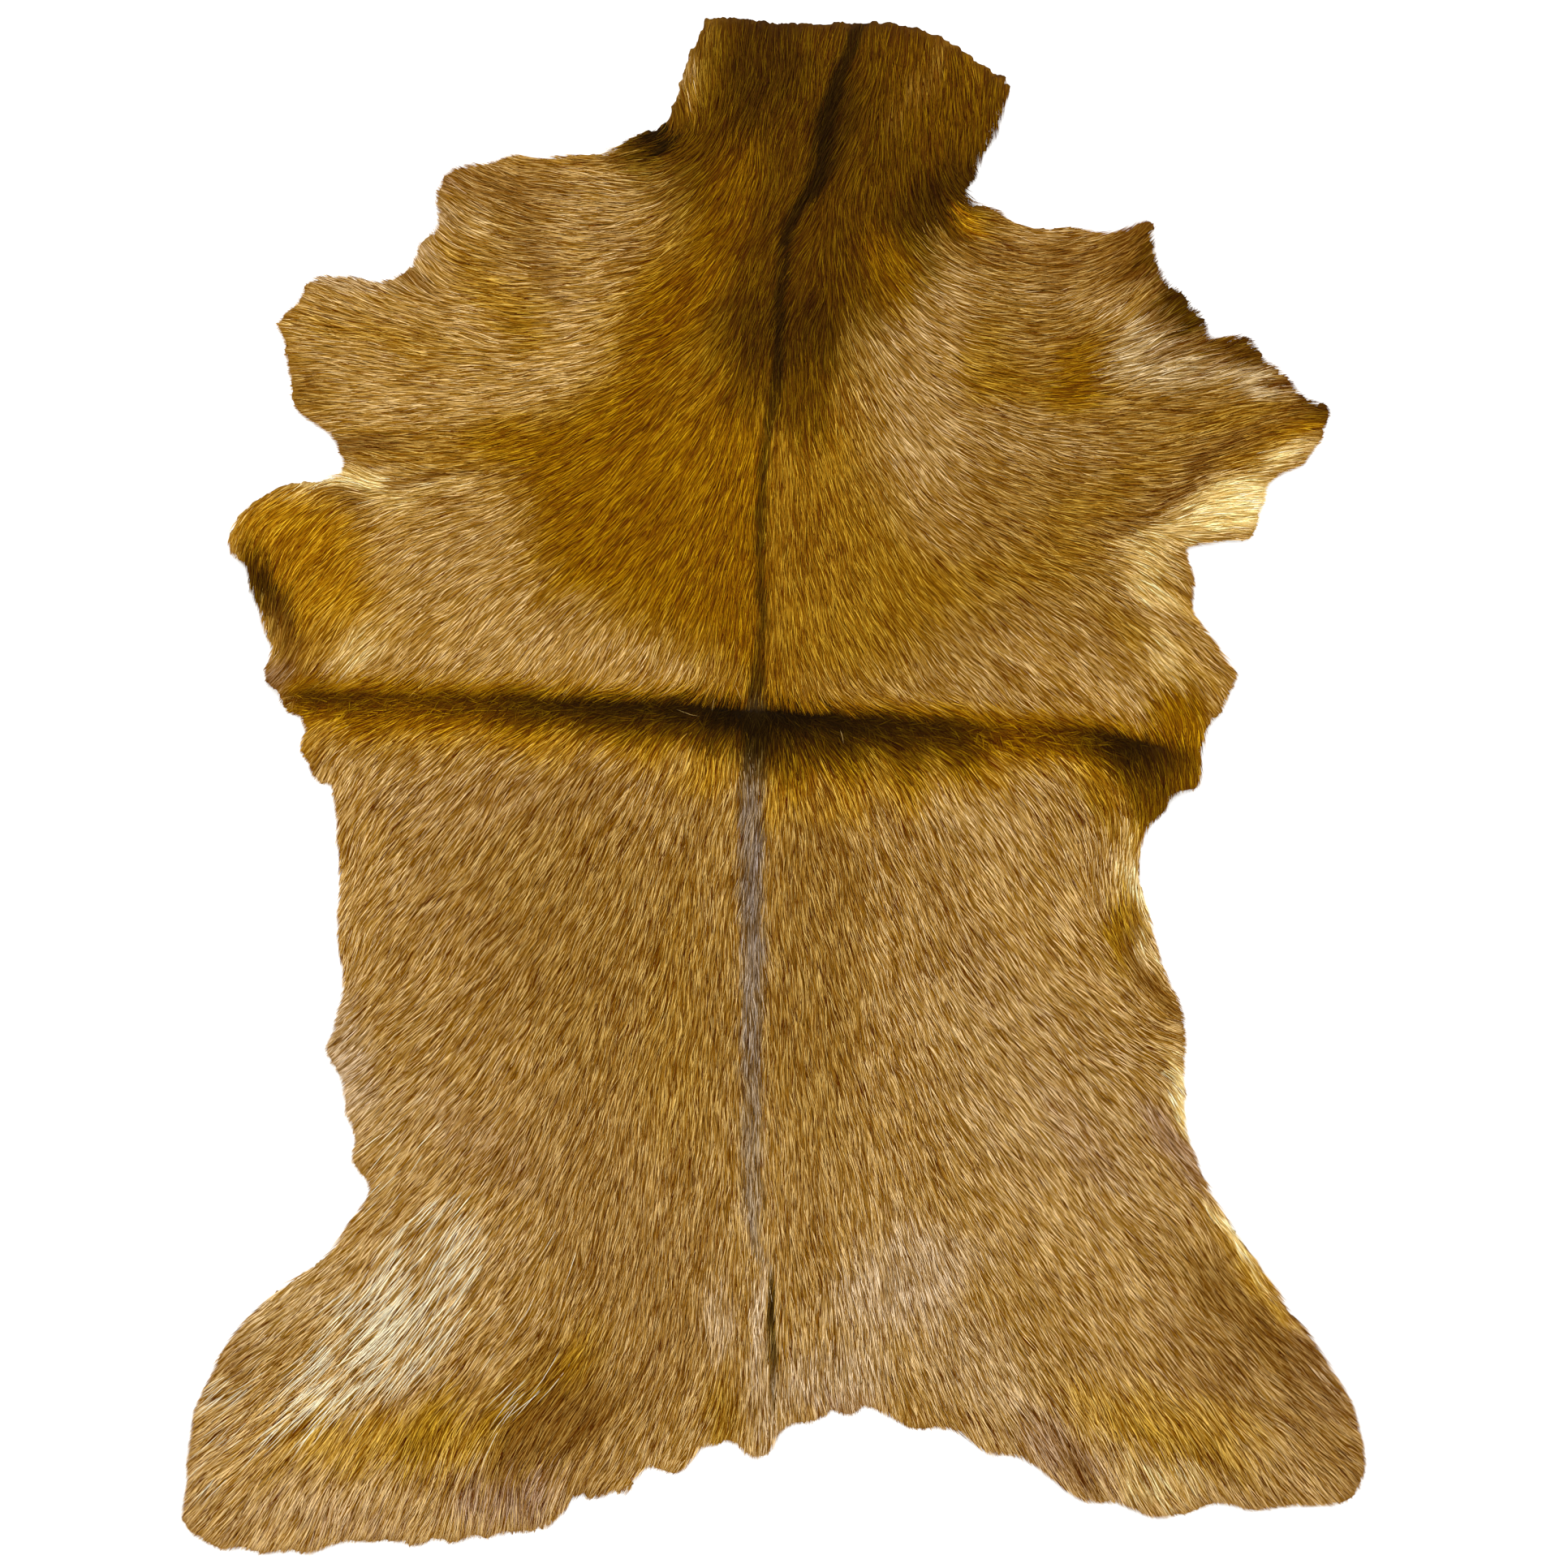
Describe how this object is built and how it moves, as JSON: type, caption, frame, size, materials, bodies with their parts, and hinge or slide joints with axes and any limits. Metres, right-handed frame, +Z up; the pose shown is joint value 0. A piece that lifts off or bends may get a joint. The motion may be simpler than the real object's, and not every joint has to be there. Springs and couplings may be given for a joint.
{
  "type": "goatskin rug",
  "caption": "Whole goat hide tanned with its hair on, lying flat hair side up as a floor rug, with a ragged natural outline and a low fold across the middle.",
  "frame": {"origin": "on the floor, under the middle of the hide's overall width and length", "axes": "+Y towards the neck, +X to the right seen from above with the neck away from the viewer, +Z up, out of the hair side"},
  "size_m": [0.731, 0.951, 0.0123],
  "materials": {
    "coat": "short straight tan and brown goat hair lying flat, with a soft sheen",
    "skin": "pale sueded flesh side, matt"
  },
  "bodies": {
    "root": {"hide": "coat"}
  },
  "joints": []
}
